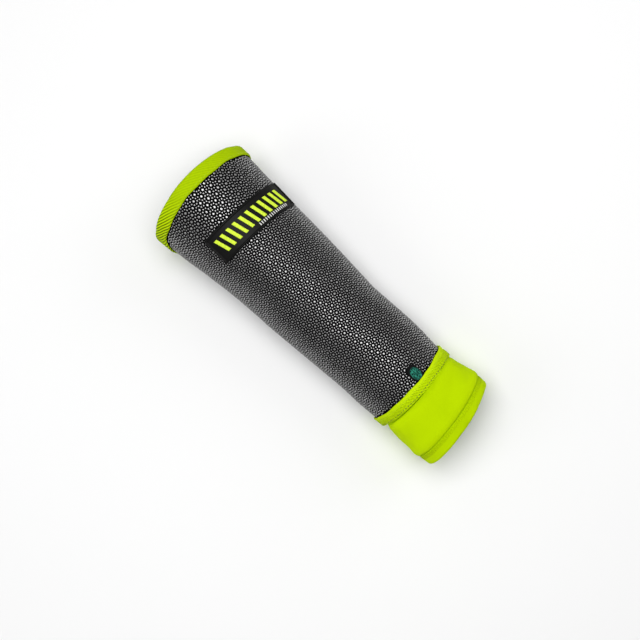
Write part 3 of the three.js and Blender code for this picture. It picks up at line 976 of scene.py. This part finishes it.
def make_elbow_tape():
    profile = fold_profile(0.0, 1, ELBOW_TAPE_WIDTH, BODY_WALL, TAPE_THICKNESS)

    def detail(s, turn, height):
        move = uneven(turn, ELBOW_EDGE_WAVES) + elbow_tape_edge(turn) - ELBOW_TAPE_WIDTH
        moved = s + move * smooth(s, ELBOW_MOVE_START, ELBOW_TAPE_WIDTH)
        return moved, height + uneven(turn, ELBOW_RIPPLES)

    tape = tube("elbow_tape", BODY, profile, ELBOW_MESH, TAPE, detail, "elbow_binding")

    def line(turn):
        return elbow_tape_edge(turn) - ELBOW_STITCH_LINE

    stitch_row("elbow_stitches", BODY, line, GAP + TAPE_THICKNESS, ELBOW_STITCH, HI_VIS_THREAD)


def make_wrist_tape():
    outer = GAP + TAPE_THICKNESS
    end = BODY.length
    start = end - WRIST_TAPE_WIDTH
    points = [(start, GAP), (start - EDGE_SWELL, outer / 2), (start, outer), (end, outer)]
    shoulder, foot = [end + share * FOLD_DEPTH for share in LIP_SHARES]
    points += [(shoulder, outer - LIP_FALL), (end + FOLD_DEPTH, GAP)]
    points += [(foot, -BODY_WALL), (end + GAP, -BODY_WALL), (end + GAP, GAP)]

    def detail(s, turn, height):
        move = uneven(turn, WRIST_EDGE_WAVES) + wrist_tape_spread(turn) * smooth(s, start, end)
        groove = WRIST_GROOVE * bell(s, start + WRIST_GROOVE_LINE, WRIST_GROOVE_WIDTH)
        dimples = uneven(turn, WRIST_DIMPLES) * smooth(s - start, *WRIST_DIMPLES_RISE)
        return s + move, height - np.where(on_outside(height), groove + dimples, 0)

    tape = tube("wrist_tape", BODY, points, WRIST_MESH, BAND, detail, "wrist_binding")

    def line(turn):
        return end - WRIST_STITCH_LINE + wrist_tape_spread(turn)

    def edge_line(turn):
        return np.full_like(turn, start + WRIST_GROOVE_LINE)

    stitch_row("wrist_stitches", BODY, line, outer, WRIST_STITCH, OLIVE_THREAD)
    height = outer - WRIST_EDGE_STITCH_SINK
    stitch_row("wrist_edge_stitches", BODY, edge_line, height, WRIST_EDGE_STITCH, HI_VIS_THREAD)


def hem_corner(s, turn):
    """The hem's ends are rounded off where the cuff turns under at its two sides."""
    side = bell(np.abs(turn), SIDE_TURN, HEM_CORNER_WIDTH)
    return HEM_CORNER * side * smooth(s, CUFF.length - HEM_WIDTH, CUFF.length)


def make_cuff():
    end = CUFF.length - CUFF_END_GAP
    points = [(0.0, 0.0), (end, 0.0), (end, -CUFF_WALL), (0.0, -CUFF_WALL)]
    line = CUFF.length - HEM_WIDTH

    def detail(s, turn, height):
        waves = uneven(turn, [CUFF_SLOW_WAVE, (*CUFF_FAST_WAVE, s * CUFF_WAVE_TWIST)])
        wave = hump(s, CUFF_SLACK_RISE, CUFF_SLACK_FALL) * waves
        top = 1 - smooth(np.abs(turn), *CUFF_PUFF_TURNS)
        puff = CUFF_PUFF * top * smooth(s - wrist_tape_spread(turn), *CUFF_PUFF_RISE)
        puff = puff * (1 - smooth(s, *CUFF_PUFF_FALL))
        flush = CUFF_FLUSH * hump(s - line, CUFF_FLUSH_RISE, CUFF_FLUSH_FALL)
        return s - hem_corner(s, turn), height + wave + puff + flush

    cuff = tube("cuff_knit", CUFF, points, CUFF_MESH, KNIT, detail, "knit_cuff")


def make_hem():
    line = CUFF.length - HEM_WIDTH
    profile = fold_profile(CUFF.length, -1, HEM_WIDTH, CUFF_WALL, HEM_THICKNESS)

    def detail(s, turn, height):
        groove = HEM_GROOVE * bell(s, line + HEM_STITCH_LINE, HEM_GROOVE_WIDTH)
        move = uneven(turn, HEM_EDGE_WAVES) - hem_corner(s, turn)
        return s + move, height - np.where(on_outside(height), groove, 0)

    hem = tube("cuff_hem_fold", CUFF, profile, HEM_MESH, HEM, detail, "cuff_hem")

    def stitch_line(turn):
        return np.full_like(turn, line + HEM_STITCH_LINE)

    stitch_row("hem_stitches", CUFF, stitch_line, HEM_THICKNESS, HEM_STITCH, HI_VIS_THREAD)


# Patch and tab
def on_patch(along, across, height):
    """Point of the patch from its own middle: along is towards the cuff, across towards +Y."""
    halfway = PATCH_FROM_EDGE + PATCH_WIDTH / 2
    s = halfway + along * math.cos(PATCH_TURN) + across * math.sin(PATCH_TURN)
    arc = PATCH_ARC + across * math.cos(PATCH_TURN) - along * math.sin(PATCH_TURN)
    return BODY.at(s, BODY.turn_of(np.full_like(arc, halfway), arc), height)


def bevelled(low, high, spacing, bevel):
    """Places from low to high, closer together where a bevel is."""
    inner = np.linspace(low + bevel, high - bevel, max(2, int((high - low) / spacing)))
    near = low + bevel * BEVEL_STEPS
    far = high - bevel * BEVEL_STEPS[::-1]
    return np.concatenate([near, inner, far])


def rounded_edge(distance, bevel):
    """0 at an edge and 1 a bevel away from it, round like a quarter circle."""
    t = np.clip(distance / bevel, 0, 1)
    return np.sqrt(1 - (1 - t) ** 2)


def patch_lines(half, spacing):
    """Places across the patch, closer together at its edges and its rim."""
    places = bevelled(-half, half, spacing, PATCH_BEVEL)
    return np.unique(np.concatenate([places, RIM_LINES - half, half - RIM_LINES]))


def make_patch():
    width, reach = PATCH_WIDTH / 2, PATCH_REACH / 2
    along, across = [patch_lines(*pair) for pair in zip((width, reach), PATCH_SPACING)]
    a, b = np.meshgrid(along, across, indexing="ij")
    far = np.minimum(width - np.abs(a), reach - np.abs(b))
    rim = 1 - smooth(far - RIM_WIDTH, *RIM_FLANK)
    height = GAP + (PATCH_THICKNESS + RIM_RISE * rim) * rounded_edge(far, PATCH_BEVEL)
    top = on_patch(a, b, height)
    bottom = on_patch(a, b, np.full_like(a, SEAT))
    slab("rubber_patch", top, bottom, RUBBER, np.stack([b, a], -1), "label_patch")


def patch_bars(name, rows, rise, material):
    """Raised slanted bars. rows: middle across, low and high along, width and slant."""
    points, faces, count = [], [], 0
    for middle, low, high, width, slant in rows:
        along = bevelled(low, high, MARK_SPACING[0], MARK_BEVEL)
        side = bevelled(-width / 2, width / 2, MARK_SPACING[1], MARK_BEVEL)
        a, b = np.meshgrid(along, side, indexing="ij")
        far = np.minimum(np.minimum(a - low, high - a), width / 2 - np.abs(b))
        shift = (a - (low + high) / 2) / (high - low) * slant
        lift = (rise + MARK_SINK) * rounded_edge(far, MARK_BEVEL)
        grid = on_patch(a, middle + b + shift, GAP + PATCH_THICKNESS - MARK_SINK + lift)
        points.append(grid.reshape(-1, 3))
        faces.append(grid_faces(len(along), len(side), False, False) + count)
        count += a.size
    build(name, np.concatenate(points), np.concatenate(faces), material)


def make_patch_marks():
    reach = PATCH_REACH / 2 - BAR_MARGIN - BAR_SLANT / 2 - BAR_WIDTH / 2
    half = PATCH_WIDTH / 2 - BAR_MARGIN
    rows = [(m, -half, half, BAR_WIDTH, BAR_SLANT) for m in np.linspace(-reach, reach, BAR_COUNT)]
    patch_bars("patch_bars", rows, BAR_RISE, HI_VIS_INK)
    rows = [(m, *DASH_ENDS, DASH_WIDTH, 0.0) for m in np.linspace(*DASH_REACH, DASH_COUNT)]
    patch_bars("patch_dashes", rows, DASH_RISE, WHITE_INK)


def make_tab():
    """Ribbon with a half round tip. fall is the distance from the tip."""
    radius = TAB_WIDTH / 2
    tip = radius * (1 - np.cos(np.linspace(TAB_TIP, 1, TAB_ROWS) * math.pi / 2))
    fall = np.concatenate([tip, np.linspace(radius, TAB_LENGTH, TAB_ROWS)[1:]])
    round_width = np.sqrt(np.maximum(radius**2 - (radius - fall) ** 2, 0))
    width = np.where(fall < radius, round_width, radius)
    a = np.repeat(fall[:, None], TAB_COLUMNS, 1)
    b = width[:, None] * np.linspace(-1, 1, TAB_COLUMNS)[None, :]
    far = np.minimum(width[:, None] - np.abs(b), a)
    share = TAB_EDGE_SHARE + (1 - TAB_EDGE_SHARE) * rounded_edge(far, TAB_BEVEL)
    s = BODY.length - WRIST_TAPE_WIDTH - TAB_CLEARANCE - TAB_LENGTH + a
    turn = BODY.turn_of(s, TAB_ARC + b)
    top = BODY.at(s, turn, GAP + TAB_THICKNESS * share)
    bottom = BODY.at(s, turn, SEAT)
    slab("loop_tab", top, bottom, TAB, np.stack([b, a], -1), "side_tab")


make_fabric()
make_plates()
make_seam()
make_elbow_tape()
make_wrist_tape()
make_cuff()
make_hem()
make_patch()
make_patch_marks()
make_tab()

# Floor, light and camera
FLOOR_HALF = 3.0
FLOOR_GREY = 0.86
FLOOR_CLOUD = 0.005
WORLD_LIGHT = 0.22

# Area lights: name, place, aim, size and energy
LIGHTS = [
    ("key", (-0.08, 0.05, 1.3), (0.02, 0, 0), 0.9, 15.8),
    ("fill_left", (-0.5, -1.2, 0.9), (0, 0, 0), 1.0, 3.6),
    ("fill_right", (0.4, 1.3, 0.9), (0, 0, 0), 1.0, 4.4),
]

# The camera looks down on its target: its lean from upright towards the cuff, how the
# picture is turned, and its focal length in pixels of a picture this wide
CAMERA_TARGET = Vector((0.0205, -0.0111, 0.034))
CAMERA_DISTANCE = 1.1
CAMERA_LEAN = math.radians(4.0)
CAMERA_TURN = math.radians(41.32)
FOCAL_PIXELS = 1571.6
PICTURE_PIXELS = 640.0
SENSOR_WIDTH = 36.0


def make_floor():
    corners = [(-1, -1, 0), (1, -1, 0), (1, 1, 0), (-1, 1, 0)]
    mesh = bpy.data.meshes.new("floor")
    mesh.from_pydata([[c * FLOOR_HALF for c in corner] for corner in corners], [], [[0, 1, 2, 3]])
    m = Shader("pale_floor", (FLOOR_GREY,) * 3, 0.9)
    clouds = m.noise(m.space(), 3, 2)
    m.color(m.ramp(clouds, [(0.3, FLOOR_GREY - FLOOR_CLOUD), (0.7, FLOOR_GREY + FLOOR_CLOUD)]))
    mesh.materials.append(m.material)
    floor = bpy.data.objects.new("floor", mesh)
    bpy.context.scene.collection.objects.link(floor)


def make_light(name, place, aim, size, energy):
    data = bpy.data.lights.new(name, "AREA")
    data.shape = "SQUARE"
    data.size = size
    data.energy = energy
    light = bpy.data.objects.new(name, data)
    light.location = place
    light.rotation_euler = (Vector(aim) - Vector(place)).to_track_quat("-Z", "Y").to_euler()
    bpy.context.scene.collection.objects.link(light)


def make_world():
    world = bpy.data.worlds.new("studio")
    world.use_nodes = True
    background = world.node_tree.nodes["Background"]
    background.inputs["Color"].default_value = (1, 1, 1, 1)
    background.inputs["Strength"].default_value = WORLD_LIGHT
    bpy.context.scene.world = world


def make_camera():
    back = Vector((math.sin(CAMERA_LEAN), 0, math.cos(CAMERA_LEAN)))
    flat = Vector((math.cos(CAMERA_LEAN), 0, -math.sin(CAMERA_LEAN)))
    side = Vector((0, 1, 0))
    right = flat * math.cos(CAMERA_TURN) + side * math.sin(CAMERA_TURN)
    up = side * math.cos(CAMERA_TURN) - flat * math.sin(CAMERA_TURN)
    data = bpy.data.cameras.new("camera")
    data.sensor_width = SENSOR_WIDTH
    data.lens = FOCAL_PIXELS * SENSOR_WIDTH / PICTURE_PIXELS
    camera = bpy.data.objects.new("camera", data)
    matrix = Matrix((right, up, back)).transposed().to_4x4()
    matrix.translation = CAMERA_TARGET + back * CAMERA_DISTANCE
    camera.matrix_world = matrix
    bpy.context.scene.collection.objects.link(camera)
    bpy.context.scene.camera = camera


make_floor()
for row in LIGHTS:
    make_light(*row)
make_world()
make_camera()
bpy.context.scene.view_settings.view_transform = "Standard"
